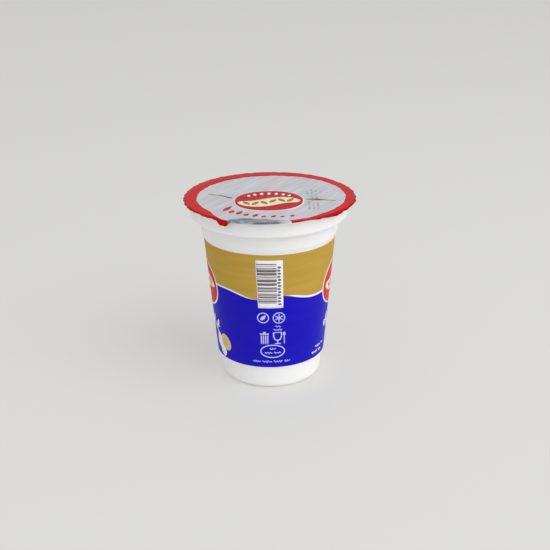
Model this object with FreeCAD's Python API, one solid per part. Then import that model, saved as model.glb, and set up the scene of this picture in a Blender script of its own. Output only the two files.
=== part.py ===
import FreeCAD, Part
import math
import os

# Sealed single-serve cup of a cold yoghurt drink, in millimetres.
# A tapered plastic cup with a stepped foot, a neck, a skirt and a flat flange,
# shut by a heat-sealed foil lid whose edge droops unevenly over the flange.
# The cup is full and shut, so cup and drink are one solid.
# The axis is +Z, the foot stands on Z = 0 and the side with the code panel faces -Y.

# --- overall sizes ----------------------------------------------------
CUP_HEIGHT = 85.6            # floor to the flange's top, without the foil
RIM_DIAMETER = 75.0          # outside of the flange
FOOT_DIAMETER = 46.2         # outside of the foot at the floor, before its corner is rounded

# --- foot -------------------------------------------------------------
FOOT_HEIGHT = 12.0           # floor to the lower edge of the printed wall
FOOT_TAPER = 0.8             # how much wider, in radius, the foot is at its top
FOOT_CORNER_RADIUS = 3.2     # rounding where the foot meets the floor
FOOT_STEP = 1.3              # how far the printed wall stands out from the foot
FOOT_STEP_RISE = 0.9         # height of the sloping step out to the printed wall
FOOT_STEP_ROUNDING = 0.35    # rounding of both corners of that step
STANDING_RING_WIDTH = 2.6    # flat ring that the cup stands on
BASE_RECESS_DEPTH = 2.2      # height of the raised underside over the floor
BASE_RECESS_SLOPE = 1.6      # how far the recess wall leans inwards
BASE_RECESS_ROUNDING = 0.7   # rounding at the top and bottom of the recess wall

# --- neck, skirt and flange -------------------------------------------
NECK_STEP = 1.1              # how far the neck stands out from the printed wall
NECK_STEP_RISE = 2.2         # height over which the wall widens to the neck
NECK_STEP_ROUNDING = 3.0     # soft bend where the printed wall meets that step
NECK_HEIGHT = 7.0            # upright part of the neck
NECK_TAPER = 0.35            # how much wider, in radius, the neck is at its top
NECK_BOTTOM_ROUNDING = 2.0   # soft bend at the lower end of the neck
NECK_TOP_ROUNDING = 1.2      # hollow corner between neck and skirt
SKIRT_LEDGE_WIDTH = 4.1      # how far the skirt's lower corner stands out from the neck
SKIRT_HEIGHT = 6.6           # lower corner of the skirt to the flange
SKIRT_TAPER = 0.4            # how much wider, in radius, the skirt is at its top
SKIRT_BOTTOM_ROUNDING = 1.5  # rounded lower corner of the skirt
SKIRT_TOP_ROUNDING = 0.5     # hollow corner between skirt and flange
FLANGE_OVERHANG = 1.4        # how far the flange stands out from the skirt
FLANGE_THICKNESS = 1.2
FLANGE_EDGE_ROUNDING = 0.35

# --- foil lid ---------------------------------------------------------
LID_THICKNESS = 0.3          # foil with its embossing, thicker than bare foil
LID_OVERHANG = 1.4           # how far the foil reaches past the flange
LID_OFFSET = 0.4             # the foil sits this far off the cup's axis
LID_OFFSET_ANGLE = 135.0     # and towards this side, degrees from -Y towards +X
LID_DROOP = 0.58             # mean drop of the foil's edge
LID_DROOP_SWING = 0.53       # more drop on one side of the rim and less on the other
LID_DROOP_ANGLE = 15.0       # side where the edge hangs lowest
LID_RIPPLE = 0.2             # uneven rise and fall of the edge, as a share of its drop
LID_EDGE_WANDER = 0.1        # uneven reach of the edge
LID_AZIMUTH_STEPS = 180      # places round the edge where the foil's outline is set
RIPPLE_WAVES = ((9, 1.0, 20), (23, 0.7, 75))    # waves round the rim, their share, their start in degrees
WANDER_WAVES = ((5, 1.0, 40), (13, 0.6, 150))
FOIL_BEND = ((0.0, 0.0), (0.40, 0.10), (0.75, 0.35), (0.93, 0.65), (1.0, 1.0))   # shares of reach and droop

TAB_LEFT_ANGLE = -27.0       # pull tab's root, degrees from -Y towards +X
TAB_RIGHT_ANGLE = 14.0
TAB_BLEND_ANGLE = 4.0        # angle over which the tab's bend starts and ends
TAB_DROOP_LEFT = 1.1         # drop of the edge at the left end of the tab's stiff root
TAB_DROOP_RIGHT = 0.35       # and at its right end
CORNER_ANGLE = -30.6         # the tab's torn corner hangs beside its root
CORNER_HALF_ANGLE = 5.4      # half of the corner's width at its top
CORNER_BLEND_ANGLE = 3.4     # angle over which its sides slope down
CORNER_DROP = 1.7            # extra drop of the corner

# --- what follows from the sizes above --------------------------------
flange_radius = RIM_DIAMETER / 2
skirt_top_radius = flange_radius - FLANGE_OVERHANG
skirt_bottom_radius = skirt_top_radius - SKIRT_TAPER
neck_top_radius = skirt_bottom_radius - SKIRT_LEDGE_WIDTH
neck_bottom_radius = neck_top_radius - NECK_TAPER
wall_top_radius = neck_bottom_radius - NECK_STEP
foot_radius = FOOT_DIAMETER / 2
foot_top_radius = foot_radius + FOOT_TAPER
wall_bottom_radius = foot_top_radius + FOOT_STEP
recess_foot_radius = foot_radius - FOOT_CORNER_RADIUS - STANDING_RING_WIDTH
recess_top_radius = recess_foot_radius - BASE_RECESS_SLOPE
flange_bottom = CUP_HEIGHT - FLANGE_THICKNESS
neck_top = flange_bottom - SKIRT_HEIGHT
neck_bottom = neck_top - NECK_HEIGHT
wall_top = neck_bottom - NECK_STEP_RISE
lid_top = CUP_HEIGHT + LID_THICKNESS
lid_bend_radius = flange_radius
lid_edge_radius = flange_radius + LID_OVERHANG


def rounded_outline(corners):
    """Closed line through corners (radius, height, rounding), a tangent arc in place of each rounded one."""
    places = [FreeCAD.Vector(radius, 0, height) for radius, height, rounding in corners]
    edges = []
    start = places[0]
    for index in range(1, len(corners) - 1):
        corner = places[index]
        before = (places[index - 1] - corner).normalize()
        after = (places[index + 1] - corner).normalize()
        middle = (before + after).normalize()
        rounding = corners[index][2]
        half_angle = before.getAngle(after) / 2
        reach = rounding / math.tan(half_angle)
        depth = rounding / math.sin(half_angle) - rounding
        arc_start = corner + before * reach
        arc_end = corner + after * reach
        edges.append(Part.LineSegment(start, arc_start).toShape())
        edges.append(Part.Arc(arc_start, corner + middle * depth, arc_end).toShape())
        start = arc_end
    edges.append(Part.LineSegment(start, places[-1]).toShape())
    edges.append(Part.LineSegment(places[-1], places[0]).toShape())
    return Part.Wire(edges)


def make_cup():
    """The cup and its drink: one outline, from the underside to the flange's top, turned about Z."""
    corners = [
        (0, BASE_RECESS_DEPTH, 0),
        (recess_top_radius, BASE_RECESS_DEPTH, BASE_RECESS_ROUNDING),
        (recess_foot_radius, 0, BASE_RECESS_ROUNDING),
        (foot_radius, 0, FOOT_CORNER_RADIUS),
        (foot_top_radius, FOOT_HEIGHT - FOOT_STEP_RISE, FOOT_STEP_ROUNDING),
        (wall_bottom_radius, FOOT_HEIGHT, FOOT_STEP_ROUNDING),
        (wall_top_radius, wall_top, NECK_STEP_ROUNDING),
        (neck_bottom_radius, neck_bottom, NECK_BOTTOM_ROUNDING),
        (neck_top_radius, neck_top, NECK_TOP_ROUNDING),
        (skirt_bottom_radius, neck_top, SKIRT_BOTTOM_ROUNDING),
        (skirt_top_radius, flange_bottom, SKIRT_TOP_ROUNDING),
        (flange_radius, flange_bottom, FLANGE_EDGE_ROUNDING),
        (flange_radius, CUP_HEIGHT, FLANGE_EDGE_ROUNDING),
        (0, CUP_HEIGHT, 0),
    ]
    section = Part.Face(rounded_outline(corners))
    return section.revolve(FreeCAD.Vector(0, 0, 0), FreeCAD.Vector(0, 0, 1), 360)


def smooth_step(value):
    """0 below 0, 1 above 1, and a smooth rise between."""
    value = min(max(value, 0.0), 1.0)
    return value * value * (3 - 2 * value)


def uneven(azimuth, waves):
    """Sum of sine waves round the rim."""
    return sum(share * math.sin(math.radians(count * azimuth + start)) for count, share, start in waves)


def edge_radius(azimuth):
    """Reach of the foil's edge: a circle a little off the axis that wanders in and out."""
    offset = LID_OFFSET * math.cos(math.radians(azimuth - LID_OFFSET_ANGLE))
    return lid_edge_radius + offset + LID_EDGE_WANDER * uneven(azimuth, WANDER_WAVES)


def edge_droop(azimuth):
    """Drop of the foil's edge: one swing and ripples round the rim, the tab's root and its hanging corner."""
    swing = LID_DROOP_SWING * math.cos(math.radians(azimuth - LID_DROOP_ANGLE))
    droop = (LID_DROOP + swing) * (1 + LID_RIPPLE * uneven(azimuth, RIPPLE_WAVES))
    tab = smooth_step((azimuth - TAB_LEFT_ANGLE) / TAB_BLEND_ANGLE)
    tab *= smooth_step((TAB_RIGHT_ANGLE - azimuth) / TAB_BLEND_ANGLE)
    along_tab = (azimuth - TAB_LEFT_ANGLE) / (TAB_RIGHT_ANGLE - TAB_LEFT_ANGLE)
    tab_droop = TAB_DROOP_LEFT + (TAB_DROOP_RIGHT - TAB_DROOP_LEFT) * along_tab
    corner = smooth_step((CORNER_HALF_ANGLE - abs(azimuth - CORNER_ANGLE)) / CORNER_BLEND_ANGLE)
    return droop + (tab_droop - droop) * tab + CORNER_DROP * corner


def foil_section(azimuth):
    """The foil's outer line past the flange: nearly level, then over the edge, then down to the hem."""
    reach = edge_radius(azimuth) - lid_bend_radius
    droop = edge_droop(azimuth)
    return [(lid_bend_radius + out * reach, lid_top - down * droop) for out, down in FOIL_BEND]


def inner_line(line):
    """The same line one foil thickness to the inside, square to it at each point."""
    shifted = []
    for index, (radius, height) in enumerate(line):
        before = line[max(index - 1, 0)]
        after = line[min(index + 1, len(line) - 1)]
        run = after[0] - before[0]
        fall = before[1] - after[1]
        if index == 0:
            fall = 0.0
        length = math.hypot(run, fall)
        shifted.append((radius - LID_THICKNESS * fall / length, height - LID_THICKNESS * run / length))
    return shifted


def ring_wire(sections, index):
    """A smooth closed curve round the lid through point number index of every section."""
    points = []
    for step, section in enumerate(sections):
        azimuth = 2 * math.pi * step / len(sections)
        radius, height = section[index]
        points.append(FreeCAD.Vector(radius * math.sin(azimuth), -radius * math.cos(azimuth), height))
    curve = Part.BSplineCurve()
    curve.interpolate(Points=points, PeriodicFlag=True)
    return Part.Wire([curve.toShape()])


def make_lid():
    """The foil: two level discs, a drooping band outside and inside, and the cut edge between."""
    outer_sections = []
    inner_sections = []
    for step in range(LID_AZIMUTH_STEPS):
        azimuth = 360.0 * step / LID_AZIMUTH_STEPS
        if azimuth > 180:
            azimuth -= 360
        line = foil_section(azimuth)
        outer_sections.append(line)
        inner_sections.append(inner_line(line))
    count = len(outer_sections[0])
    outer = [ring_wire(outer_sections, index) for index in range(count)]
    inner = [ring_wire(inner_sections, index) for index in range(count)]
    faces = [Part.Face(outer[0]), Part.Face(inner[0])]
    faces += Part.makeLoft(outer, False, True, False).Faces
    faces += Part.makeLoft(inner, False, True, False).Faces
    faces += Part.makeLoft([outer[-1], inner[-1]], False, True, False).Faces
    shell = Part.makeShell(faces)
    shell.sewShape()
    lid = Part.makeSolid(Part.Shell(shell.Faces))
    if lid.Volume < 0:
        lid.reverse()
    return lid


os.makedirs("parts", exist_ok=True)
solids = {"cup": make_cup(), "lid": make_lid()}
for name, solid in solids.items():
    solid.exportStep("parts/" + name + ".step")
    print(name, "valid", solid.isValid(), "closed", solid.isClosed(), "volume", round(solid.Volume, 1))
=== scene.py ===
import math

import bpy
import numpy as np
from mathutils import Matrix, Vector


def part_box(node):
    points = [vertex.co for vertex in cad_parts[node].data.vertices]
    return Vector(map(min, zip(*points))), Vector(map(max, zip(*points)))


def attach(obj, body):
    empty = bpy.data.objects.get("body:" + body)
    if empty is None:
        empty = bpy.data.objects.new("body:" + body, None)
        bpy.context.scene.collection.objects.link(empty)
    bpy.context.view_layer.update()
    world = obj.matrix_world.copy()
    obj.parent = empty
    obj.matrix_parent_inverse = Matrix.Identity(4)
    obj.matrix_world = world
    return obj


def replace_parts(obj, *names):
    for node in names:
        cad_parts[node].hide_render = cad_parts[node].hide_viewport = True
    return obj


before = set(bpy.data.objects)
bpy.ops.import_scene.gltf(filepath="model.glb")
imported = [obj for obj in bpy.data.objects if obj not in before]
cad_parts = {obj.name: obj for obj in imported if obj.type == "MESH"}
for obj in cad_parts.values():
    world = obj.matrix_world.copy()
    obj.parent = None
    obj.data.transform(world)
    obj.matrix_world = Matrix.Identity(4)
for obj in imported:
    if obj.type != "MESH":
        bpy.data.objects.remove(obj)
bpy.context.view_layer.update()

# Sealed single-serve cup of a cold yoghurt drink: a moulded white cup with a printed
# wall, shut by a lacquered foil lid whose edge droops over the flange.
# Sizes are millimetres and angles degrees; MM turns millimetres into the frame's metres.
# Azimuth runs round the axis from -Y, where the code panel is, towards +X.

MM = 0.001
CUP_NODE_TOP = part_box("cup")[1]
LID_NODE_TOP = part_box("lid")[1]

# --- cup, from the frame and the sizes of the solid ---
CUP_HEIGHT = CUP_NODE_TOP.z / MM
FLANGE_RADIUS = CUP_NODE_TOP.x / MM
LID_TOP = LID_NODE_TOP.z / MM
FOOT_RADIUS = 23.1
FOOT_HEIGHT = 12.0
FOOT_TAPER = 0.8
FOOT_CORNER_RADIUS = 3.2
FOOT_STEP = 1.3
FOOT_STEP_RISE = 0.9
FOOT_STEP_ROUNDING = 0.35
STANDING_RING_WIDTH = 2.6
BASE_RECESS_DEPTH = 2.2
BASE_RECESS_SLOPE = 1.6
BASE_RECESS_ROUNDING = 0.7
GATE_MARK_RADIUS = 1.6       # moulding gate in the middle of the underside
GATE_MARK_DEPTH = 0.35
BASE_RING_RADIUS = 9.0       # raised ring round the gate
BASE_RING_HEIGHT = 0.3
BASE_RING_WIDTH = 0.7
NECK_STEP = 1.1
NECK_STEP_RISE = 2.2
NECK_STEP_ROUNDING = 3.0
NECK_HEIGHT = 7.0
NECK_TAPER = 0.35
NECK_BOTTOM_ROUNDING = 2.0
NECK_TOP_ROUNDING = 1.2
SKIRT_LEDGE_WIDTH = 4.1
SKIRT_HEIGHT = 6.6
SKIRT_TAPER = 0.4
SKIRT_BOTTOM_ROUNDING = 1.5
SKIRT_TOP_ROUNDING = 0.5
FLANGE_OVERHANG = 1.4
FLANGE_THICKNESS = 1.2
FLANGE_EDGE_ROUNDING = 0.35
FLANGE_WIDTH = 2.9           # level ring that the foil is sealed to
MOUTH_DEPTH = 1.0            # the drink stands this far under the flange, under the foil
CUP_COLUMNS = 360
ARC_STEPS = 8                # straight pieces in each rounded corner
ROW_STEP = 1.5               # longest straight piece of the cup's outline

flange_bottom = CUP_HEIGHT - FLANGE_THICKNESS
neck_top = flange_bottom - SKIRT_HEIGHT
neck_bottom = neck_top - NECK_HEIGHT
wall_top = neck_bottom - NECK_STEP_RISE
skirt_top_radius = FLANGE_RADIUS - FLANGE_OVERHANG
skirt_bottom_radius = skirt_top_radius - SKIRT_TAPER
neck_top_radius = skirt_bottom_radius - SKIRT_LEDGE_WIDTH
neck_bottom_radius = neck_top_radius - NECK_TAPER
wall_top_radius = neck_bottom_radius - NECK_STEP
foot_top_radius = FOOT_RADIUS + FOOT_TAPER
wall_bottom_radius = foot_top_radius + FOOT_STEP
recess_foot_radius = FOOT_RADIUS - FOOT_CORNER_RADIUS - STANDING_RING_WIDTH
recess_top_radius = recess_foot_radius - BASE_RECESS_SLOPE

# --- foil lid ---
LID_OVERHANG = 1.4
LID_OFFSET = 0.4
LID_OFFSET_ANGLE = 135.0
LID_DROOP = 0.58
LID_DROOP_SWING = 0.53
LID_DROOP_ANGLE = 15.0
LID_RIPPLE = 0.2
LID_EDGE_WANDER = 0.1
RIPPLE_WAVES = ((9, 1.0, 20), (23, 0.7, 75))      # waves round the rim, their share, their start
WRINKLE_WAVES = ((37, 1.0, 10), (53, 0.8, 130), (71, 0.6, 250))   # fine crimps of the bent edge
WRINKLE_DEPTH = 0.13
WANDER_WAVES = ((5, 1.0, 40), (13, 0.6, 150))
TAB_LEFT_ANGLE = -27.0
TAB_RIGHT_ANGLE = 14.0
TAB_BLEND_ANGLE = 4.0
TAB_DROOP_LEFT = 1.1
TAB_DROOP_RIGHT = 0.35
TAB_SIDE_LIFT = 0.75         # the foil stands up beside the tab's right end
TAB_SIDE_STRETCH = (8, 6, 46, 26)   # where it does: start, rise, end, fall
CORNER_ANGLE = -30.6
CORNER_HALF_ANGLE = 5.4
CORNER_BLEND_ANGLE = 3.4
CORNER_DROP = 1.7
FOIL_THICKNESS = 0.28        # lacquered foil with its seal
FOIL_EDGE_THICKNESS = 0.14   # at the cut edge
SEAL_INNER_RADIUS = 33.6     # inside this the foil hangs free
FOIL_SAG = 0.38              # how far the free foil hangs in the middle
SEAL_STEP = 0.10             # press mark of the sealing head
SEAL_STEP_BLEND = 1.2
LID_TOP_MARGIN = 0.02        # the foil's face lies this far under the solid's top
FOIL_CREASES = (             # direction across the crease, place along it, half width, height
    (128, 14.5, 2.6, 0.16),
    (141, 21.0, 1.7, -0.13),
    (118, 5.0, 3.4, 0.10),
    (35, 20.0, 2.2, -0.10),
    (60, 26.5, 1.6, 0.09),
    (152, -19.0, 2.8, 0.10),
    (100, -27.0, 2.0, -0.08),
)
CREASE_STRENGTH = 0.8
CREASE_FADE = 9.0            # width inside the seal over which creases fade out
LID_COLUMNS = 480
LID_FREE_ROWS = 46           # rings of points inside the seal's step
LID_SEAL_ROWS = 20           # from there to the flange's edge
LID_BEND_ROWS = 13           # round the bend
RED_RING_RADIUS = 33.5       # mean inner radius of the red printed ring
RED_RING_SWING = 1.3         # the print sits off centre: narrower on one side, wider on the other
RED_RING_ANGLE = 48.0        # its narrow side
RED_RING_ROUGHNESS = 0.12    # uneven edge of the ink
RED_RING_WAVES = ((17, 1.0, 0), (41, 0.8, 60))
RED_RING_RIGHT_RUN = 1.6     # how far it runs outwards right of the tab
RED_RING_RIGHT_STRETCH = (-8, 16, 46, 26)   # start, rise, end, fall
RED_RING_LEFT_RUN = 4.3      # and left of it
RED_RING_LEFT_STRETCH = (-54, 25, 8, 16)
BARE_FOIL_RADIUS = 33.2      # unprinted foil starts here at the tab's root
BARE_FOIL_BOW = 3.4          # its edge bows out by this much
BARE_FOIL_BOW_MIDDLE = -12
BARE_FOIL_BOW_ANGLE = 26     # this far from the bow's middle
BARE_FOIL_LEFT_END = 2.2     # and runs out at its left end
BARE_FOIL_RAGGEDNESS = 0.2
STREAK_ANGLE = 58.0          # direction in which the foil was rolled

# --- print on the wall ---
WAVE_HEIGHT = 47.45          # mean height of the line between gold and blue
WAVE_TERMS = ((2, -1.55), (4, 0.96), (6, 0.44), (8, 0.35))   # waves round the cup, their height
STROKE_HALF_WIDTH = 0.45     # white line along that edge
STROKE_RIGHT = (12, 14, 1.1)     # start beside the code panel, angle of widening, full share
STROKE_LEFT = (8, 24, 0.85)
PRINT_MARGIN = 0.25          # bare plastic between the gold and the neck
LAYER = 0.03                 # how far each coat of ink stands over the one below
PANEL_LEAN = 1.2             # the code panel leans this much clockwise
PANEL_MIDDLE = 54.15         # height about which it leans
BOX_STEP = 1.4               # widest spacing of points in a printed box
OUTLINE_STEP = 0.8           # and along a rounded box's straight sides
LEAF_STEPS = 12
INSIDE_PRINT = -9            # stands for "far inside" where a pole needs a distance


# --- meshes ---
def add_piece(name, vertices, faces, material, fields=None):
    """A smooth-shaded mesh object, in metres from millimetres, riding on the cup's body."""
    mesh = bpy.data.meshes.new(name)
    mesh.from_pydata((np.asarray(vertices) * MM).tolist(), [], faces)
    mesh.polygons.foreach_set("use_smooth", np.ones(len(mesh.polygons), dtype=bool))
    for field, values in (fields or {}).items():
        attribute = mesh.attributes.new(field, "FLOAT", "POINT")
        attribute.data.foreach_set("value", np.asarray(values, dtype=np.float32).ravel())
    mesh.materials.append(material)
    mesh.update()
    piece = bpy.data.objects.new(name, mesh)
    bpy.context.scene.collection.objects.link(piece)
    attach(piece, "root")
    return piece


def grid_faces(rows, columns, closed_rows=False, closed_columns=False):
    """Quads between neighbouring points of a grid; a closed way also joins its last line to its first."""
    row, column = np.meshgrid(
        np.arange(rows if closed_rows else rows - 1),
        np.arange(columns if closed_columns else columns - 1),
        indexing="ij",
    )
    next_row = (row + 1) % rows
    next_column = (column + 1) % columns
    corners = (
        row * columns + column,
        row * columns + next_column,
        next_row * columns + next_column,
        next_row * columns + column,
    )
    return np.stack(corners, axis=-1).reshape(-1, 4).tolist()


def fan_faces(first, columns, pole, upwards=True):
    """Triangles from a closed row of points to its pole."""
    here = np.arange(columns)
    after = (here + 1) % columns
    around = (here, after) if upwards else (after, here)
    return np.stack([np.full(columns, pole), first + around[0], first + around[1]], axis=-1).tolist()


# --- outlines and profiles ---
def rounded_profile(corners):
    """Points along straight lines between corners (radius, height, rounding), each rounding a tangent arc.

    An arc's points turn evenly from the end of one tangent to the start of the next.
    """
    places = np.array([corner[:2] for corner in corners], dtype=float)
    points = [places[0]]
    for index in range(1, len(corners) - 1):
        corner = places[index]
        before = places[index - 1] - corner
        after = places[index + 1] - corner
        before /= np.linalg.norm(before)
        after /= np.linalg.norm(after)
        half_angle = math.acos(np.clip(np.dot(before, after), -1, 1)) / 2
        rounding = corners[index][2]
        middle = (before + after) / np.linalg.norm(before + after)
        centre = corner + middle * rounding / math.sin(half_angle)
        reach = rounding / math.tan(half_angle)
        first = corner + before * reach - centre
        last = corner + after * reach - centre
        turn = math.pi - 2 * half_angle
        share = np.linspace(0, 1, ARC_STEPS + 1)[:, None]
        arc = (np.sin((1 - share) * turn) * first + np.sin(share * turn) * last) / math.sin(turn)
        run = centre + first - points[-1]
        pieces = max(1, math.ceil(np.linalg.norm(run) / ROW_STEP))
        points += [points[-1] + run * step / pieces for step in range(1, pieces)]
        points += list(centre + arc)
    run = places[-1] - points[-1]
    pieces = max(1, math.ceil(np.linalg.norm(run) / ROW_STEP))
    points += [points[-1] + run * step / pieces for step in range(1, pieces + 1)]
    return np.array(points)


def wrap_angle(azimuth):
    """The same direction between -180 and 180 degrees."""
    return (azimuth + 180) % 360 - 180


def smooth_step(value):
    """0 below 0, 1 above 1, and a smooth rise between."""
    value = np.clip(value, 0, 1)
    return value * value * (3 - 2 * value)


def stretch_share(azimuth, start, rise, end, fall):
    """1 inside a stretch of the rim and 0 outside, rising after its start and falling before its end."""
    return smooth_step((azimuth - start) / rise) * smooth_step((end - azimuth) / fall)


def uneven(azimuth, waves):
    """Sum of sine waves round the rim."""
    return sum(share * np.sin(np.radians(count * azimuth + start)) for count, share, start in waves)


def wave_line(azimuth):
    """Height of the edge between gold and blue: a mean height and four sine waves round the cup."""
    return WAVE_HEIGHT + sum(height * np.sin(np.radians(count * azimuth)) for count, height in WAVE_TERMS)


def wave_stroke(azimuth):
    """Half width of the white line: full beside the side panels, thinning towards the code panel."""
    beside = np.abs(wrap_angle(2 * azimuth) / 2)
    shares = []
    for start, widening, full in (STROKE_RIGHT, STROKE_LEFT):
        shares.append(smooth_step((beside - start) / widening) * full)
    return STROKE_HALF_WIDTH * np.where(np.sin(np.radians(2 * azimuth)) > 0, *shares)


# --- cup ---
def cup_corners():
    """Corners of the cup's outline, from the middle of the underside to the middle of the top."""
    ring_top = BASE_RECESS_DEPTH - BASE_RING_HEIGHT
    return [
        (0, BASE_RECESS_DEPTH - GATE_MARK_DEPTH, 0),
        (GATE_MARK_RADIUS, BASE_RECESS_DEPTH - GATE_MARK_DEPTH, 0.15),
        (GATE_MARK_RADIUS + 0.3, BASE_RECESS_DEPTH, 0.15),
        (BASE_RING_RADIUS - BASE_RING_WIDTH, BASE_RECESS_DEPTH, 0.12),
        (BASE_RING_RADIUS - BASE_RING_WIDTH / 2, ring_top, 0.12),
        (BASE_RING_RADIUS + BASE_RING_WIDTH / 2, ring_top, 0.12),
        (BASE_RING_RADIUS + BASE_RING_WIDTH, BASE_RECESS_DEPTH, 0.12),
        (recess_top_radius, BASE_RECESS_DEPTH, BASE_RECESS_ROUNDING),
        (recess_foot_radius, 0, BASE_RECESS_ROUNDING),
        (FOOT_RADIUS, 0, FOOT_CORNER_RADIUS),
        (foot_top_radius, FOOT_HEIGHT - FOOT_STEP_RISE, FOOT_STEP_ROUNDING),
        (wall_bottom_radius, FOOT_HEIGHT, FOOT_STEP_ROUNDING),
        (wall_top_radius, wall_top, NECK_STEP_ROUNDING),
        (neck_bottom_radius, neck_bottom, NECK_BOTTOM_ROUNDING),
        (neck_top_radius, neck_top, NECK_TOP_ROUNDING),
        (skirt_bottom_radius, neck_top, SKIRT_BOTTOM_ROUNDING),
        (skirt_top_radius, flange_bottom, SKIRT_TOP_ROUNDING),
        (FLANGE_RADIUS, flange_bottom, FLANGE_EDGE_ROUNDING),
        (FLANGE_RADIUS, CUP_HEIGHT, FLANGE_EDGE_ROUNDING),
        (FLANGE_RADIUS - FLANGE_WIDTH, CUP_HEIGHT, 0.3),
        (FLANGE_RADIUS - FLANGE_WIDTH - 0.4, CUP_HEIGHT - MOUTH_DEPTH, 0.3),
        (0, CUP_HEIGHT - MOUTH_DEPTH, 0),
    ]


def make_cup(material):
    """Surface of revolution: each outline point carried round the axis, a single point at either pole."""
    profile = rounded_profile(cup_corners())
    rings = profile[1:-1]
    azimuth = np.arange(CUP_COLUMNS) * 360 / CUP_COLUMNS
    radius, turn = np.meshgrid(rings[:, 0], np.radians(azimuth), indexing="ij")
    height = np.broadcast_to(rings[:, 1:], radius.shape)
    grid = np.stack([radius * np.sin(turn), -radius * np.cos(turn), height], axis=-1)
    count = grid.shape[0] * CUP_COLUMNS
    vertices = np.vstack([grid.reshape(-1, 3), [[0, 0, profile[0, 1]], [0, 0, profile[-1, 1]]]])
    faces = grid_faces(len(rings), CUP_COLUMNS, closed_columns=True)
    faces += fan_faces(0, CUP_COLUMNS, count, upwards=False)
    faces += fan_faces(count - CUP_COLUMNS, CUP_COLUMNS, count + 1)
    over_wave = np.append(height - wave_line(azimuth), [-CUP_HEIGHT, CUP_HEIGHT])
    stroke = np.append(np.broadcast_to(wave_stroke(azimuth), radius.shape), [0, 0])
    fields = {"over_wave": over_wave, "stroke": stroke}
    return add_piece("cup_shell", vertices, faces, material, fields)


# --- lid ---
def edge_radius(azimuth):
    """Reach of the foil's edge: a circle a little off the axis that wanders in and out."""
    offset = LID_OFFSET * np.cos(np.radians(azimuth - LID_OFFSET_ANGLE))
    return FLANGE_RADIUS + LID_OVERHANG + offset + LID_EDGE_WANDER * uneven(azimuth, WANDER_WAVES)


def tab_share(azimuth):
    """1 along the pull tab's root and 0 elsewhere, with a short blend at both ends."""
    return stretch_share(azimuth, TAB_LEFT_ANGLE, TAB_BLEND_ANGLE, TAB_RIGHT_ANGLE, TAB_BLEND_ANGLE)


def edge_droop(azimuth):
    """Drop of the foil's edge: swing, ripples, a lift beside the tab, its root and its hanging corner."""
    swing = LID_DROOP_SWING * np.cos(np.radians(azimuth - LID_DROOP_ANGLE))
    droop = (LID_DROOP + swing) * (1 + LID_RIPPLE * uneven(azimuth, RIPPLE_WAVES))
    droop = droop - TAB_SIDE_LIFT * stretch_share(azimuth, *TAB_SIDE_STRETCH)
    along_tab = (azimuth - TAB_LEFT_ANGLE) / (TAB_RIGHT_ANGLE - TAB_LEFT_ANGLE)
    tab_droop = TAB_DROOP_LEFT + (TAB_DROOP_RIGHT - TAB_DROOP_LEFT) * along_tab
    corner = smooth_step((CORNER_HALF_ANGLE - np.abs(azimuth - CORNER_ANGLE)) / CORNER_BLEND_ANGLE)
    return droop + (tab_droop - droop) * tab_share(azimuth) + CORNER_DROP * corner


def foil_level(x, y):
    """Height of the foil's upper face inside the flange.

    The free foil hangs in a shallow bowl, lowest in the middle, and soft straight
    creases cross it, each a bell-shaped ridge or groove that fades out at the seal.
    """
    radius = np.hypot(x, y)
    inside = smooth_step((SEAL_INNER_RADIUS - radius) / SEAL_STEP_BLEND)
    bowl = 1 - (np.minimum(radius, SEAL_INNER_RADIUS) / SEAL_INNER_RADIUS) ** 2
    creases = 0
    for direction, place, half_width, height in FOIL_CREASES:
        angle = math.radians(direction)
        across = x * math.cos(angle) + y * math.sin(angle) - place
        creases = creases + height * np.exp(-((across / half_width) ** 2))
    fade = smooth_step((SEAL_INNER_RADIUS - radius) / CREASE_FADE)
    relief = CREASE_STRENGTH * creases * fade
    return LID_TOP - LID_TOP_MARGIN - SEAL_STEP * inside - FOIL_SAG * bowl + relief


def red_inner_radius(azimuth):
    """Inner edge of the red ring: an off-centre circle that runs outwards on both sides of the tab."""
    swing = RED_RING_SWING * np.cos(np.radians(azimuth - RED_RING_ANGLE))
    right = RED_RING_RIGHT_RUN * stretch_share(azimuth, *RED_RING_RIGHT_STRETCH)
    left = RED_RING_LEFT_RUN * stretch_share(azimuth, *RED_RING_LEFT_STRETCH)
    return RED_RING_RADIUS + swing + right + left + RED_RING_ROUGHNESS * uneven(azimuth, RED_RING_WAVES)


def bare_inner_radius(azimuth):
    """Inner edge of the unprinted foil at the tab's root: a shallow bow that opens to the right."""
    bow = BARE_FOIL_BOW * ((azimuth - BARE_FOIL_BOW_MIDDLE) / BARE_FOIL_BOW_ANGLE) ** 2
    left_end = BARE_FOIL_LEFT_END * smooth_step((TAB_LEFT_ANGLE + 9 - azimuth) / 9)
    return BARE_FOIL_RADIUS + bow + left_end + BARE_FOIL_RAGGEDNESS * np.sin(np.radians(29 * azimuth))


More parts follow.
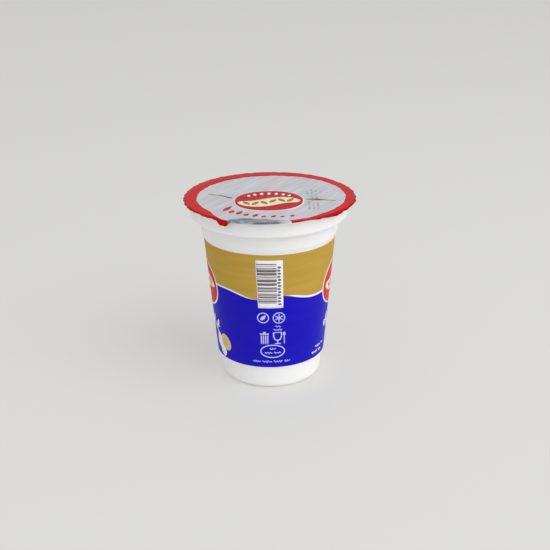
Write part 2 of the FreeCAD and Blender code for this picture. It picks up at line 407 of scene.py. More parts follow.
def make_lid(material):
    """Polar surface: level and sagging inside the flange, then a quarter-ellipse over its edge.

    The lower face is the upper one moved one foil thickness along its normal, and the
    cut edge joins the two, so the foil is a closed thin sheet.
    """
    azimuth = wrap_angle(np.arange(LID_COLUMNS) * 360 / LID_COLUMNS)
    turn = np.radians(azimuth)
    level_radius = np.concatenate([
        np.linspace(0.6, SEAL_INNER_RADIUS - SEAL_STEP_BLEND - 0.3, LID_FREE_ROWS),
        np.linspace(SEAL_INNER_RADIUS - SEAL_STEP_BLEND, FLANGE_RADIUS, LID_SEAL_ROWS),
    ])
    radius = np.broadcast_to(level_radius[:, None], (len(level_radius), LID_COLUMNS))
    level = foil_level(radius * np.sin(turn), -radius * np.cos(turn))
    share = np.sin(np.linspace(0, math.pi / 2, LID_BEND_ROWS))[1:, None]
    crimp = WRINKLE_DEPTH * uneven(azimuth, WRINKLE_WAVES) * (1 - tab_share(azimuth))
    bend_radius = FLANGE_RADIUS + share * (edge_radius(azimuth) + crimp * share - FLANGE_RADIUS)
    bend_level = level[-1] - edge_droop(azimuth) * (1 - np.sqrt(np.maximum(0, 1 - share**2)))
    upper_radius = np.vstack([radius, bend_radius])
    upper_level = np.vstack([level, bend_level])
    across = np.gradient(upper_radius, axis=0)
    down = np.gradient(upper_level, axis=0)
    length = np.hypot(across, down)
    thin = smooth_step((upper_radius - FLANGE_RADIUS) / LID_OVERHANG)
    thickness = FOIL_THICKNESS + (FOIL_EDGE_THICKNESS - FOIL_THICKNESS) * thin
    lower_radius = upper_radius + down / length * thickness
    lower_level = upper_level - across / length * thickness
    all_radius = np.vstack([lower_radius, upper_radius[::-1]])
    all_level = np.vstack([lower_level, upper_level[::-1]])
    rows = len(all_radius)
    grid = np.stack([all_radius * np.sin(turn), -all_radius * np.cos(turn), all_level], axis=-1)
    count = rows * LID_COLUMNS
    middle = foil_level(np.zeros(1), np.zeros(1))[0]
    poles = [[0, 0, middle - FOIL_THICKNESS], [0, 0, middle]]
    vertices = np.vstack([grid.reshape(-1, 3), poles])
    faces = grid_faces(rows, LID_COLUMNS, closed_columns=True)
    faces += fan_faces(0, LID_COLUMNS, count, upwards=False)
    faces += fan_faces(count - LID_COLUMNS, LID_COLUMNS, count + 1)
    arc = np.radians(np.minimum(azimuth - TAB_LEFT_ANGLE, TAB_RIGHT_ANGLE - azimuth)) * FLANGE_RADIUS
    tab = np.broadcast_to(arc, all_radius.shape)
    distances = {
        "over_red": all_radius - red_inner_radius(azimuth),
        "over_bare": all_radius - bare_inner_radius(azimuth),
        "in_tab": tab,
        "over_edge": all_radius - FLANGE_RADIUS,
    }
    fields = {name: np.append(values, [INSIDE_PRINT] * 2) for name, values in distances.items()}
    return add_piece("lid_foil", vertices, faces, material, fields)


# --- materials ---
def linear(code):
    """Linear colour from an sRGB hex code."""
    channels = np.array([int(code[place:place + 2], 16) for place in (0, 2, 4)]) / 255
    low = channels / 12.92
    high = ((channels + 0.055) / 1.055) ** 2.4
    return (*np.where(channels <= 0.04045, low, high).tolist(), 1.0)


def set_inputs(tree, node, inputs):
    """Give a node's inputs fixed values, or link them to the sockets that feed them."""
    for name, value in inputs.items():
        if isinstance(value, bpy.types.NodeSocket):
            tree.links.new(value, node.inputs[name])
        else:
            node.inputs[name].default_value = value


def add_node(tree, kind, inputs=None, **settings):
    """Add a node with its settings and its inputs."""
    node = tree.nodes.new("ShaderNode" + kind)
    for name, value in settings.items():
        setattr(node, name, value)
    set_inputs(tree, node, inputs or {})
    return node


def start_material(name):
    """An empty material with its surface shader linked to the output."""
    material = bpy.data.materials.new(name)
    material.use_nodes = True
    tree = material.node_tree
    tree.nodes.clear()
    shader = add_node(tree, "BsdfPrincipled")
    add_node(tree, "OutputMaterial", {"Surface": shader.outputs[0]})
    return material, tree, shader


def cup_material():
    """Injection-moulded polypropylene, white and satin, with dry-offset ink on its wall.

    Light goes a few millimetres into the bare plastic, which softens the shade in its corners.
    The foot is painted a little whiter than the rest, as painted bounce light from the table.
    The ink lies in flat fields: metallic gold over blue, a white line between them,
    faint streaks along the print's direction. Flakes make the gold duller than the rest.
    """
    material, tree, shader = start_material("printed_polypropylene")
    place = add_node(tree, "TexCoord").outputs["Object"]
    height = add_node(tree, "SeparateXYZ", {0: place}).outputs["Z"]
    over_wave = add_node(tree, "Attribute", attribute_name="over_wave").outputs["Fac"]
    stroke = add_node(tree, "Attribute", attribute_name="stroke").outputs["Fac"]
    foot_top = FOOT_HEIGHT * MM
    over_foot = add_node(tree, "Math", {0: height, 1: foot_top}, operation="GREATER_THAN").outputs[0]
    print_top = (wall_top - PRINT_MARGIN) * MM
    under_neck = add_node(tree, "Math", {0: height, 1: print_top}, operation="LESS_THAN").outputs[0]
    printed = add_node(tree, "Math", {0: over_foot, 1: under_neck}, operation="MULTIPLY").outputs[0]
    gold_share = add_node(tree, "Math", {0: over_wave, 1: stroke}, operation="GREATER_THAN").outputs[0]
    distance = add_node(tree, "Math", {0: over_wave}, operation="ABSOLUTE").outputs[0]
    line_share = add_node(tree, "Math", {0: distance, 1: stroke}, operation="LESS_THAN").outputs[0]
    streaks = add_node(
        tree, "Mapping", {"Vector": place, "Scale": (9.0, 9.0, 1.0)}, vector_type="TEXTURE"
    ).outputs[0]
    density, plastic_tone, grain = (
        add_node(
            tree, "TexNoise", {"Vector": vector, "Scale": 1 / (size * MM), "Detail": detail}
        ).outputs["Fac"]
        for vector, size, detail in ((streaks, 3.0, 3.0), (place, 14.0, 2.0), (place, 0.9, 2.0))
    )
    gold, blue, upper_plastic, foot_painted_bounce_plastic = (
        add_node(tree, "Mix", {0: share, 6: linear(dark), 7: linear(light)}, data_type="RGBA").outputs[2]
        for share, dark, light in (
            (density, "B08E39", "C9A74D"),
            (density, "1710AE", "241BC1"),
            (plastic_tone, "E8E8E8", "EEEEED"),
            # lighter foot tones: painted bounce light from the table
            (plastic_tone, "EDEDED", "F3F3F2"),
        )
    )
    line_ink = linear("ECEBF2")
    fields = add_node(tree, "Mix", {0: gold_share, 6: blue, 7: gold}, data_type="RGBA").outputs[2]
    inked = add_node(tree, "Mix", {0: line_share, 6: fields, 7: line_ink}, data_type="RGBA").outputs[2]
    # the foot under FOOT_HEIGHT gets the lighter tones of painted bounce light
    plastic = add_node(
        tree, "Mix", {0: over_foot, 6: foot_painted_bounce_plastic, 7: upper_plastic}, data_type="RGBA"
    ).outputs[2]
    colour = add_node(tree, "Mix", {0: printed, 6: plastic, 7: inked}, data_type="RGBA").outputs[2]
    gold_only = add_node(tree, "Math", {0: gold_share, 1: printed}, operation="MULTIPLY").outputs[0]
    metal = add_node(tree, "Math", {0: gold_only, 1: 0.15}, operation="MULTIPLY").outputs[0]
    satin = add_node(tree, "MapRange", {"Value": density, "To Min": 0.34, "To Max": 0.42}).outputs["Result"]
    rough = add_node(tree, "Math", {0: gold_only, 1: 0.2, 2: satin}, operation="MULTIPLY_ADD").outputs[0]
    depth = add_node(tree, "MapRange", {"Value": printed, "To Min": 0.7, "To Max": 0.0}).outputs["Result"]
    bump = add_node(tree, "Bump", {"Strength": 0.10, "Distance": 0.02 * MM, "Height": grain}).outputs[0]
    set_inputs(tree, shader, {
        "Base Color": colour,
        "Metallic": metal,
        "Roughness": rough,
        "IOR": 1.49,
        "Specular IOR Level": 0.05,
        "Subsurface Weight": depth,
        "Subsurface Radius": (1.0, 0.95, 0.9),
        "Subsurface Scale": 4 * MM,
        "Normal": bump,
    })
    return material


def foil_material():
    """Lacquered aluminium foil, rolled and embossed: soft silver under clear lacquer, red ink on its rim.

    Rolling leaves long streaks in one direction, whose lighter and darker tones are painted
    reflections, and the lacquer tints them faintly pink and blue. The red is painted darker where
    the edge is bent over, as painted shade on the turned-down rim. At the tab's root the foil is bare:
    its cooler, darker grey along brushed streaks is painted reflection in the bare metal, and its
    paler right end is a painted highlight.
    """
    material, tree, shader = start_material("lacquered_aluminium_foil")
    place = add_node(tree, "TexCoord").outputs["Object"]
    across = add_node(tree, "SeparateXYZ", {0: place}).outputs["X"]
    over_red, over_bare, in_tab, over_edge = (
        add_node(tree, "Attribute", attribute_name=name).outputs["Fac"]
        for name in ("over_red", "over_bare", "in_tab", "over_edge")
    )
    red_place, bare_place, tab = (
        add_node(tree, "Math", {0: distance, 1: 0.0}, operation="GREATER_THAN").outputs[0]
        for distance in (over_red, over_bare, in_tab)
    )
    not_tab = add_node(tree, "Math", {0: 1.0, 1: tab}, operation="SUBTRACT").outputs[0]
    red = add_node(tree, "Math", {0: red_place, 1: not_tab}, operation="MULTIPLY").outputs[0]
    bare = add_node(tree, "Math", {0: bare_place, 1: tab}, operation="MULTIPLY").outputs[0]

    rolling = (0, 0, math.radians(STREAK_ANGLE))
    along = add_node(
        tree, "Mapping", {"Vector": place, "Rotation": rolling, "Scale": (9.0, 1.0, 1.0)},
        vector_type="TEXTURE",
    ).outputs[0]
    brushed = add_node(
        tree, "Mapping", {"Vector": place, "Scale": (7.0, 1.0, 1.0)}, vector_type="TEXTURE"
    ).outputs[0]
    rolled, cloud, brushing, mottle = (
        add_node(
            tree, "TexNoise", {"Vector": vector, "Scale": 1 / (size * MM), "Detail": detail}
        ).outputs["Fac"]
        for vector, size, detail in (
            (along, 2.4, 3.0),
            (place, 9.0, 1.0),
            (brushed, 0.9, 2.0),
            (place, 2.2, 4.0),
        )
    )
    streak_painted_reflection, tint, scratch, right_end_painted_highlight, bend_painted_shade = (
        add_node(tree, "MapRange", {"Value": value, "From Min": low, "From Max": high}).outputs["Result"]
        for value, low, high in (
            (rolled, 0.25, 0.75),
            (cloud, 0.38, 0.62),
            (brushing, 0.36, 0.64),
            (across, 3 * MM, 8 * MM),
            (over_edge, 0.5, LID_OVERHANG),
        )
    )
    cool, warm, grey, flat_red = (
        add_node(tree, "Mix", {0: share, 6: linear(dark), 7: linear(light)}, data_type="RGBA").outputs[2]
        for share, dark, light in (
            # light and dark rolling streaks of the silver are painted reflections; the pink and blue tints
            # are the lacquer's
            (streak_painted_reflection, "BFC6CF", "DEE3E8"),
            (streak_painted_reflection, "C7C1C8", "E1DBE0"),
            # bare tab foil: its dark streaked grey is painted reflection in the bare metal
            (scratch, "5C6871", "A9B1B8"),
            (mottle, "BC0811", "D2151F"),
        )
    )
    silver, bare_foil_painted_reflection, red_ink = (
        add_node(tree, "Mix", {0: share, 6: plain, 7: other}, data_type="RGBA").outputs[2]
        for share, plain, other in (
            (tint, cool, warm),
            # its paler right end is a painted highlight
            (right_end_painted_highlight, grey, linear("D6D2DA")),
            # the red over the turned-down edge is painted darker: painted shade
            (bend_painted_shade, flat_red, linear("940711")),
        )
    )
    ground = add_node(tree, "Mix", {0: bare, 6: silver, 7: bare_foil_painted_reflection}, data_type="RGBA").outputs[2]
    colour = add_node(tree, "Mix", {0: red, 6: ground, 7: red_ink}, data_type="RGBA").outputs[2]
    metal = add_node(tree, "MapRange", {"Value": red, "To Min": 0.4, "To Max": 0.0}).outputs["Result"]
    rough = add_node(tree, "MapRange", {"Value": mottle, "To Min": 0.24, "To Max": 0.36}).outputs["Result"]
    folds = add_node(tree, "Bump", {"Strength": 0.6, "Distance": 0.25 * MM, "Height": rolled}).outputs[0]
    emboss = add_node(tree, "TexVoronoi", {"Vector": place, "Scale": 1 / (0.8 * MM)}).outputs["Distance"]
    bump = add_node(
        tree, "Bump", {"Strength": 0.12, "Distance": 0.04 * MM, "Height": emboss, "Normal": folds}
    ).outputs[0]
    set_inputs(tree, shader, {
        "Base Color": colour,
        "Metallic": metal,
        "Roughness": rough,
        "Specular IOR Level": 0.05,
        "Normal": bump,
    })
    return material


def ink_material(name, light, dark, metallic=0.0):
    """A flat coat of dry-offset ink: its density drifts a little, and its gloss drifts with it."""
    material, tree, shader = start_material(name)
    place = add_node(tree, "TexCoord").outputs["Object"]
    density = add_node(
        tree, "TexNoise", {"Vector": place, "Scale": 1 / (1.6 * MM), "Detail": 3.0}
    ).outputs["Fac"]
    tones = {0: density, 6: linear(dark), 7: linear(light)}
    colour = add_node(tree, "Mix", tones, data_type="RGBA").outputs[2]
    rough = add_node(tree, "MapRange", {"Value": density, "To Min": 0.33, "To Max": 0.43}).outputs["Result"]
    set_inputs(tree, shader, {
        "Base Color": colour,
        "Roughness": rough,
        "Metallic": metallic,
        "IOR": 1.5,
        "Specular IOR Level": 0.07,
    })
    return material


# --- flat shapes of the print, in millimetres across and up ---
def box_field(left, right, bottom, top):
    """Rectangle as a grid of points, fine enough to follow the wall's curve."""
    columns = max(2, math.ceil((right - left) / BOX_STEP) + 1)
    rows = max(2, math.ceil((top - bottom) / BOX_STEP) + 1)
    up, across = np.meshgrid(np.linspace(bottom, top, rows), np.linspace(left, right, columns), indexing="ij")
    return np.stack([across, up], axis=-1).reshape(-1, 2), grid_faces(rows, columns)


def star_field(outline, rings=6):
    """Filled outline: copies of it that shrink evenly to its middle, which every outline point can see."""
    outline = np.asarray(outline)
    middle = (outline.max(axis=0) + outline.min(axis=0)) / 2
    share = (np.arange(rings, 0, -1) / rings)[:, None, None]
    grid = middle + (outline - middle) * share
    count = rings * len(outline)
    faces = grid_faces(rings, len(outline), closed_columns=True)
    faces += fan_faces(count - len(outline), len(outline), count)
    return np.vstack([grid.reshape(-1, 2), middle]), faces


def ribbon(path, half_width, closed=False, across=3):
    """Line of ink: the path's points moved to both sides along its normal, up to the half width."""
    path = np.asarray(path, dtype=float)
    if closed:
        tangent = np.roll(path, -1, axis=0) - np.roll(path, 1, axis=0)
    else:
        tangent = np.gradient(path, axis=0)
    tangent /= np.linalg.norm(tangent, axis=1, keepdims=True)
    normal = np.stack([-tangent[:, 1], tangent[:, 0]], axis=1)
    width = np.broadcast_to(half_width, len(path))[:, None, None]
    side = np.linspace(1, -1, across)[None, :, None]
    grid = path[:, None] + normal[:, None] * side * width
    return grid.reshape(-1, 2), grid_faces(len(path), across, closed_rows=closed)


def oval(centre, half_width, half_height, power=2.0, turn=0.0, sides=48):
    """Outline of an oval; a power above 2 squares it, and turn tilts it anticlockwise."""
    angle = np.arange(sides) * 2 * math.pi / sides
    x = half_width * np.sign(np.cos(angle)) * np.abs(np.cos(angle)) ** (2 / power)
    y = half_height * np.sign(np.sin(angle)) * np.abs(np.sin(angle)) ** (2 / power)
    tilt = math.radians(turn)
    return np.stack([
        centre[0] + x * math.cos(tilt) - y * math.sin(tilt),
        centre[1] + x * math.sin(tilt) + y * math.cos(tilt),
    ], axis=-1)


def rounded_box(left, right, bottom, top, rounding):
    """Outline of a box with quarter-circle corners, its points close enough to follow the wall's curve."""
    corners = (
        (right - rounding, bottom + rounding, -90),
        (right - rounding, top - rounding, 0),
        (left + rounding, top - rounding, 90),
        (left + rounding, bottom + rounding, 180),
    )
    points = []
    for index, (x, y, start) in enumerate(corners):
        turn = np.radians(np.linspace(start, start + 90, 7))
        arc = np.stack([x + rounding * np.cos(turn), y + rounding * np.sin(turn)], axis=-1)
        points.append(arc)
        next_x, next_y, next_start = corners[(index + 1) % 4]
        angle = math.radians(next_start)
        after = np.array([next_x + rounding * math.cos(angle), next_y + rounding * math.sin(angle)])
        pieces = math.ceil(np.linalg.norm(after - arc[-1]) / OUTLINE_STEP)
        points.append(arc[-1] + (after - arc[-1]) * (np.arange(1, pieces) / pieces)[:, None])
    return np.vstack(points)


def leaf(base, tip, half_width, fullness=0.8):
    """Outline of a leaf from base to tip: its sides bulge as a sine of the way along, raised to a power."""
    base = np.asarray(base, dtype=float)
    along = np.asarray(tip, dtype=float) - base
    length = np.linalg.norm(along)
    side = np.array([along[1], -along[0]]) / length
    way = np.linspace(0, 1, LEAF_STEPS + 1)
    bulge = half_width * np.sin(math.pi * way**fullness)
    right = base + along * way[:, None] + side * bulge[:, None]
    left = base + along * way[:, None] - side * bulge[:, None]
    return np.vstack([right[:-1], left[:0:-1]])


def squiggle(left, right, height, middle, seed, stroke=0.16):
    """Rows of small waves broken like words, in place of small print."""
    generator = np.random.default_rng(seed)
    fields = []
    start = left
    while start < right - 1.0:
        length = min(generator.uniform(2.2, 4.6), right - start)
        way = np.arange(0, length, 0.12)
        wave = np.sin(way * 2 * math.pi / 1.15) * height / 2 * (0.7 + 0.3 * np.sin(way * 2.3 + start))
        fields.append(ribbon(np.stack([start + way, middle + wave], axis=-1), stroke, across=2))
        start += length + 0.8
    return fields


def join_fields(fields):
    """One set of points and faces from several."""
    points = []
    faces = []
    count = 0
    for field_points, field_faces in fields:
        points.append(field_points)
        faces += [[corner + count for corner in face] for face in field_faces]
        count += len(field_points)
    return np.vstack(points), faces


def wall_radius(height):
    """Radius of the tapered wall."""
    share = (height - FOOT_HEIGHT) / (wall_top - FOOT_HEIGHT)
    return wall_bottom_radius + share * (wall_top_radius - wall_bottom_radius)


def print_on_wall(name, fields, material, layer, centre=0.0, level=None):
    """Lay flat shapes round the tapered wall: across is arc length from the centre's azimuth, up is height.

    With a level, across is measured at that height alone, so that upright sides
    draw together down the taper, as print on a rolled cone does.
    """
    flat, faces = join_fields(fields)
    height = flat[:, 1]
    radius = wall_radius(height)
    turn = math.radians(centre) + flat[:, 0] / (radius if level is None else wall_radius(level))
    out = radius + LAYER * layer
    vertices = np.stack([out * np.sin(turn), -out * np.cos(turn), height], axis=-1)
    return finish_ink(add_piece(name, vertices, faces, material), layer)


def print_on_lid(name, fields, material, layer):
    """Lay flat shapes on the foil: across is X, up is Y."""
    flat, faces = join_fields(fields)
    height = foil_level(flat[:, 0], flat[:, 1]) + LAYER * layer
    vertices = np.column_stack([flat, height])
    return finish_ink(add_piece(name, vertices, faces, material), layer)


def finish_ink(piece, layer):
    """Give a coat of ink its thickness, down into the surface under it."""
    solid = piece.modifiers.new("coat", "SOLIDIFY")
    solid.thickness = LAYER * (layer + 1) * MM
    solid.offset = -1
    return piece


# --- print of the code panel and the marks under it ---
def print_code_panel(white, dark):
    """White panel with plain bars of uneven width and a column of small marks, leaning a little."""

    def lean(field):
        points, faces = field
        shift = (PANEL_MIDDLE - points[:, 1]) * math.tan(math.radians(PANEL_LEAN))
        return points + np.stack([shift, np.zeros(len(points))], axis=-1), faces

    print_on_wall("code_panel", [lean(box_field(-5.95, 5.7, 42.5, 65.8))], white, 1, level=PANEL_MIDDLE)
    generator = np.random.default_rng(11)
    bars = []
    height = 44.9
    while height < 64.2:
        thickness = generator.choice([0.26, 0.26, 0.5, 0.5, 0.76, 1.25])
        bars.append(lean(box_field(-5.6, 2.95, height, height + thickness)))
        height += thickness + generator.choice([0.28, 0.28, 0.5, 0.75])
    print_on_wall("code_bars", bars, dark, 2, level=PANEL_MIDDLE)
    marks = []
    for step in range(13):
        place = 44.4 + step * 1.5
        mark = oval((4.0 + 0.12 * (-1) ** step, place), 0.78, 0.5, 3.0, sides=16)
        marks.append(lean(star_field(mark, 2)))
    print_on_wall("code_marks", marks, dark, 2, level=PANEL_MIDDLE)


def print_wall_marks(white):
    """Generic white marks: two ringed signs, a bin, a goblet with a spoon, an oval seal and small print."""
    fields = []
    ring = (-3.4, 37.6)
    fields.append(ribbon(oval(ring, 2.45, 2.45), 0.24, closed=True))
    fields.append(star_field(leaf((ring[0] - 1.2, ring[1] - 1.2), (ring[0] + 1.3, ring[1] + 1.3), 0.85), 3))
    flake = (3.75, 37.5)
    fields.append(ribbon(oval(flake, 2.6, 2.6), 0.22, closed=True))
    for spoke in range(3):
        angle = math.radians(60 * spoke + 30)
        reach = np.linspace(-1.9, 1.9, 9)[:, None] * [[math.cos(angle), math.sin(angle)]]
        fields.append(ribbon(np.array(flake) + reach, 0.24))
    fields += squiggle(2.2, 4.6, 0.8, 33.2, 3)
    fields += squiggle(1.4, 5.2, 0.8, 31.5, 4)
    for bar in range(4):
        fields.append(box_field(-4.55 + 0.95 * bar, -4.0 + 0.95 * bar, 24.2, 28.6))
    fields.append(box_field(-5.0, -0.9, 29.0, 29.7))
    fields.append(box_field(-3.5, -2.3, 29.7, 30.5))
    goblet = [(1.2, 30.2), (1.3, 27.8), (2.0, 26.4), (3.2, 26.0), (4.3, 26.6), (4.8, 28.0), (4.9, 30.2)]
    fields.append(ribbon(np.array(goblet), 0.28))
    fields.append(box_field(1.2, 4.9, 29.9, 30.3))
    fields.append(box_field(2.85, 3.35, 24.6, 26.1))
    fields.append(box_field(1.7, 4.5, 24.1, 24.6))
    fields.append(star_field(oval((6.1, 29.3), 0.55, 0.95, sides=20), 3))
    fields.append(box_field(5.9, 6.3, 24.1, 28.6))
    seal = (0.76, 20.4)
    fields.append(ribbon(oval(seal, 5.4, 3.2, sides=72), 0.26, closed=True))
    fields += squiggle(-0.6, 2.3, 0.8, 21.7, 5)
    fields += squiggle(-2.9, 4.4, 0.9, 19.6, 6)
    fields += squiggle(-8.4, 9.8, 1.1, 15.0, 7, stroke=0.13)
    print_on_wall("wall_marks", fields, white, 1)


def band_level(place, band):
    """Height of a badge's band: one slow wave from end to end."""
    return band["level"] + band["swing"] * np.sin(place / band["reach"] * math.pi)


def badge_band(band, points, across):
    """Band across a badge, on its slow wave and narrowing to both ends."""
    way = np.linspace(-band["reach"], band["reach"], points)
    width = band["half_width"] * np.sqrt(np.clip(1 - (way / (band["reach"] + 0.2)) ** 2, 0.02, 1))
    return ribbon(np.stack([way, band_level(way, band)], axis=-1), width, across=across)


def badge_leaves(band, places, lean, left, right, half_width):
    """Leaves along a band, leaning down and up by turns, from left of each place to right of it."""
    leaves = []
    for step, place in enumerate(places):
        level = band_level(place, band)
        rise = lean if step % 2 else -lean
        outline = leaf((place - left, level - rise * 0.8), (place + right, level + rise), half_width)
        leaves.append(star_field(outline, 3))
    return leaves


def print_side_panel(side, centre, inks):
    """One of the two main panels: a red oval badge with a cream band and leaves, and motifs under it."""
    ground = oval((0, 47.0), 16.2, 11.8, 2.2, sides=96)
    print_on_wall(side + "_badge_ground", [star_field(ground, 12)], inks["white"], 1, centre)
    badge = oval((0, 47.0), 15.4, 11.0, 2.2, sides=96)
    print_on_wall(side + "_badge", [star_field(badge, 12)], inks["wall_red"], 2, centre)
    band = {"reach": 13.2, "level": 47.2, "swing": 1.4, "half_width": 3.4}
    print_on_wall(side + "_badge_band", [badge_band(band, 60, 6)], inks["cream"], 3, centre)
    leaves = badge_leaves(band, -9.0 + 3.0 * np.arange(7), 1.6, 0.9, 1.2, 0.8)
    print_on_wall(side + "_badge_leaves", leaves, inks["olive"], 4, centre)
    way = np.linspace(-10.5, 13.0, 60)
    stem = np.stack([way, 27.6 + 0.9 * np.sin(way * 0.42)], axis=-1)
    sprig = [ribbon(stem, 0.34 * np.sqrt(1 - ((way - 1.25) / 12.4) ** 2) + 0.08)]
    for step in range(10):
        place = -10.4 + 2.35 * step
        foot = np.array([place, 27.6 + 0.9 * math.sin(place * 0.42)])
        upwards = 1 if step % 2 else -1
        tip = foot + np.array([1.9, 3.9 * upwards])
        sprig.append(star_field(leaf(foot, tip, 0.95), 4))
    print_on_wall(side + "_sprig", sprig, inks["white"], 1, centre)
    disc_centre = (16.8, 20.5)
    print_on_wall(
        side + "_drops",
        [
            star_field(leaf((13.2, 15.2), (10.6, 24.6), 3.2), 5),
            star_field(leaf((14.4, 12.3), (13.2, 19.6), 2.3), 5),
        ],
        inks["white"], 1, centre,
    )
    disc = star_field(oval(disc_centre, 3.4, 4.1, turn=18), 5)
    print_on_wall(side + "_disc", [disc], inks["yellow"], 2, centre)
    rays = []
    for turn in np.arange(7) * 2 * math.pi / 7:
        tip = (disc_centre[0] + 2.6 * math.cos(turn), disc_centre[1] + 3.1 * math.sin(turn))
        rays.append(star_field(leaf(disc_centre, tip, 0.5), 2))
    print_on_wall(side + "_disc_rays", rays, inks["olive_light"], 3, centre)
    small = squiggle(-18.8, -11.0, 1.3, 14.8, 9, stroke=0.19)
    small += squiggle(-16.6, -9.6, 1.3, 17.4, 10, stroke=0.19)
    print_on_wall(side + "_small_print", small, inks["white"], 1, centre)


def print_back_panel(inks):
    """Panel opposite the code: a white frame with a headed table of rows, and a drop on a disc over it."""
    centre = 180.0
    fields = [ribbon(rounded_box(-13.4, 13.4, 15.6, 40.2, 1.6), 0.26, closed=True)]
    fields.append(box_field(-12.2, 12.2, 36.4, 38.8))
    for row in range(7):
        height = 34.0 - 2.7 * row
        fields += squiggle(-11.8, 1.6 - 1.2 * (row % 3), 1.0, height, 40 + row, stroke=0.15)
        fields += squiggle(5.2 + 0.9 * (row % 2), 11.9, 1.0, height, 60 + row, stroke=0.15)
        if row < 6:
            fields.append(box_field(-12.2, 12.2, height - 1.42, height - 1.28))
    print_on_wall("back_table", fields, inks["thin_white"], 1, centre)
    emblem = [star_field(oval((0, 57.5), 8.0, 6.6, sides=72), 8)]
    print_on_wall("back_emblem_ground", emblem, inks["white"], 1, centre)
    emblem = [star_field(oval((0, 57.5), 7.2, 5.8, sides=72), 8)]
    print_on_wall("back_emblem", emblem, inks["wall_red"], 2, centre)
    drop = star_field(leaf((0, 53.6), (0, 61.8), 2.1, fullness=0.6), 5)
    print_on_wall("back_emblem_drop", [drop], inks["cream"], 3, centre)


def print_lid(inks):
    """Badge in the middle of the lid, a gold line to each side, a row of red leaves and dotted marks."""
    middle = (0.0, -6.5)
    ground = oval(middle, 15.7, 14.9, 2.2, sides=96)
    print_on_lid("lid_badge_ground", [star_field(ground, 14)], inks["white"], 1)
    badge = oval(middle, 15.2, 14.4, 2.2, sides=96)
    print_on_lid("lid_badge", [star_field(badge, 14)], inks["red"], 2)
    band = {"reach": 13.6, "level": middle[1] - 1.5, "swing": 2.4, "half_width": 5.2}
    print_on_lid("lid_badge_band", [badge_band(band, 70, 8)], inks["cream"], 3)
    leaves = badge_leaves(band, -10.0 + 3.9 * np.arange(6), 3.0, 1.4, 1.6, 1.15)
    print_on_lid("lid_badge_leaves", leaves, inks["olive"], 4)
    drops = []
    for step in range(7):
        angle = math.radians(90 + 15 * (step - 3))
        base = np.array(middle) + np.array([12.6 * math.cos(angle), 9.0 * math.sin(angle)])
        tip = np.array(middle) + np.array([13.3 * math.cos(angle), 12.6 * math.sin(angle)])
        drops.append(star_field(leaf(base, tip, 0.8), 3))
    print_on_lid("lid_badge_drops", drops, inks["white"], 3)
    left = np.linspace(-27.7, -16.6, 24)
    right = np.linspace(16.8, 29.7, 30)
    left_line = np.stack([left, 3.6 - 6.2 * ((left + 27.7) / 11.1) ** 1.9], axis=-1)
    right_line = np.stack([right, -5.2 - 3.3 * ((right - 16.8) / 12.9) ** 1.7], axis=-1)
    swell = 0.25 + 0.9 * np.exp(-(((right - 21.0) / 3.4) ** 2))
    lines = [ribbon(left_line, np.linspace(0.25, 0.65, 24)), ribbon(right_line, swell)]
    print_on_lid("lid_lines", lines, inks["olive_dark"], 1)
    row = []
    for step in range(9):
        share = step / 8
        angle = math.radians(-43 + 60 * share)
        reach = 29.2 + 2.2 * share
        tall = 8.0 - 5.0 * math.sqrt(share)
        if step % 2:
            tall = tall * 0.7
        base = np.array([math.sin(angle), -math.cos(angle)]) * reach
        tip = base + np.array([0.45 * tall, 0.95 * tall])
        row.append(star_field(leaf(base, tip, 1.2 - 0.3 * share), 4))
    print_on_lid("lid_red_leaves", row, inks["red"], 1)
    generator = np.random.default_rng(5)
    dots = []
    for column in range(3):
        for step in range(22):
            if generator.random() < 0.62:
                centre = (17.6 + 1.9 * column + generator.uniform(-0.2, 0.2), 9.0 - 1.35 * step)
                dots.append(star_field(oval(centre, 0.5, 0.42, sides=10), 2))
    print_on_lid("lid_dot_marks", dots, inks["grey"], 1)


# --- stage ---
FLOOR_TONE = "CECDCA"
EVEN_FLOOR_SHARE = 0.6       # the rest of the floor's tone is lit, and keeps the cup's shadow


def build_floor():
    """Large satin table top in one pale grey that keeps the cup's shadow.

    Part of it is shown at an even tone to the camera and in reflections, which keeps the
    shadow soft; all other rays see the plain lit table top.
    """
    reach = 3.0                  # metres
    mesh = bpy.data.meshes.new("floor")
    corners = [(-reach, -reach, 0), (reach, -reach, 0), (reach, reach, 0), (-reach, reach, 0)]
    mesh.from_pydata(corners, [], [(0, 1, 2, 3)])
    floor = bpy.data.objects.new("floor", mesh)
    bpy.context.scene.collection.objects.link(floor)
    material, tree, shader = start_material("satin_table_top")
    plain = {"Base Color": linear("F4F4F2"), "Roughness": 0.5, "Specular IOR Level": 0.2}
    set_inputs(tree, shader, plain)
    even = add_node(tree, "Emission", {"Color": linear(FLOOR_TONE), "Strength": 1.0}).outputs[0]
    rays = add_node(tree, "LightPath").outputs
    reflected = add_node(
        tree, "Math", {0: rays["Is Glossy Ray"], 1: rays["Is Transmission Ray"]}, operation="MAXIMUM"
    )
    seen = add_node(tree, "Math", {0: rays["Is Camera Ray"], 1: reflected.outputs[0]}, operation="MAXIMUM")
    share = add_node(tree, "Math", {0: seen.outputs[0], 1: EVEN_FLOOR_SHARE}, operation="MULTIPLY").outputs[0]
    mixed = add_node(tree, "MixShader", {0: share, 1: shader.outputs[0], 2: even}).outputs[0]
    output = next(node for node in tree.nodes if node.type == "OUTPUT_MATERIAL")
    tree.links.new(mixed, output.inputs["Surface"])
    mesh.materials.append(material)


def add_softbox(name, place, size, power):
    """Square soft lamp turned towards the middle of the cup."""
    lamp = bpy.data.lights.new(name, "AREA")
    lamp.shape = "SQUARE"
    lamp.size = size
    lamp.energy = power
    holder = bpy.data.objects.new(name, lamp)
    bpy.context.scene.collection.objects.link(holder)
    target = np.array([0, 0, CUP_HEIGHT / 2 * MM])
    direction = target - np.array(place)
    holder.location = place
    pitch = math.atan2(math.hypot(direction[0], direction[1]), -direction[2])
    heading = math.atan2(-direction[0], direction[1])
    holder.rotation_euler = (pitch, 0, heading)


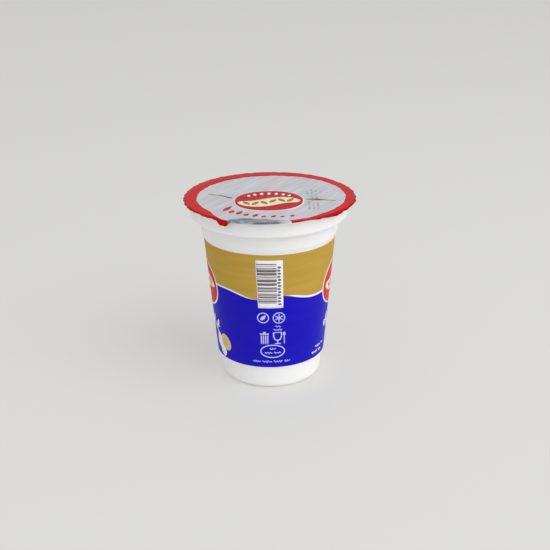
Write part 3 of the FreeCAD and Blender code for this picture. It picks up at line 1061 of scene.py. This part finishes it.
def build_light():
    """Even pale surroundings, a large soft key lamp from the right and above, a weaker one from the left."""
    world = bpy.data.worlds.new("studio")
    bpy.context.scene.world = world
    world.use_nodes = True
    background = world.node_tree.nodes["Background"]
    background.inputs["Color"].default_value = linear("DADADA")
    background.inputs["Strength"].default_value = 0.89
    add_softbox("key_softbox", (0.80, -0.69, 1.03), size=1.35, power=12.7)
    add_softbox("fill_softbox", (-0.9, -0.9, 0.8), size=0.9, power=0.7)


def build_camera():
    """Camera looking down on the cup, with its small turn to the side and its small roll."""
    distance = 475.0
    elevation = 27.063
    pitch = 21.766
    yaw = 0.315
    roll = -0.641
    camera = bpy.data.cameras.new("camera")
    camera.lens = 63.92
    camera.sensor_width = 36
    holder = bpy.data.objects.new("camera", camera)
    bpy.context.scene.collection.objects.link(holder)
    back = distance * math.cos(math.radians(elevation)) * MM
    up = distance * math.sin(math.radians(elevation)) * MM
    holder.matrix_world = (
        Matrix.Translation((0, -back, up))
        @ Matrix.Rotation(math.radians(-yaw), 4, "Z")
        @ Matrix.Rotation(math.radians(90 - pitch), 4, "X")
        @ Matrix.Rotation(math.radians(roll), 4, "Z")
    )
    bpy.context.scene.camera = holder


# --- build ---
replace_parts(make_cup(cup_material()), "cup")
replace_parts(make_lid(foil_material()), "lid")
inks = {
    "white": ink_material("white_offset_ink", "F4F3F6", "E9E8EE"),
    "cream": ink_material("cream_offset_ink", "F0E6C8", "E6DAB6"),
    "red": ink_material("red_offset_ink", "C41A24", "B21019"),
    "wall_red": ink_material("bright_red_offset_ink", "D8343A", "C8282E"),
    "olive": ink_material("olive_gold_ink", "A08C4E", "86743C", metallic=0.3),
    "olive_dark": ink_material("dark_gold_ink", "8A7A4C", "6C5E36", metallic=0.2),
    "olive_light": ink_material("pale_gold_ink", "DCC27C", "CDB068", metallic=0.2),
    "yellow": ink_material("cream_yellow_ink", "E2CF9C", "D0BB84"),
    "thin_white": ink_material("thin_white_offset_ink", "D3D6F4", "BCC0EC"),
    "dark": ink_material("brown_black_ink", "837876", "6B605D"),
    "grey": ink_material("grey_marking_ink", "9EA1AC", "8B8E9A"),
}
print_code_panel(inks["white"], inks["dark"])
print_wall_marks(inks["thin_white"])
for side, centre in (("left", -90.0), ("right", 90.0)):
    print_side_panel(side, centre, inks)
print_back_panel(inks)
print_lid(inks)
build_floor()
build_light()
build_camera()

bpy.context.scene.view_settings.view_transform = "Standard"
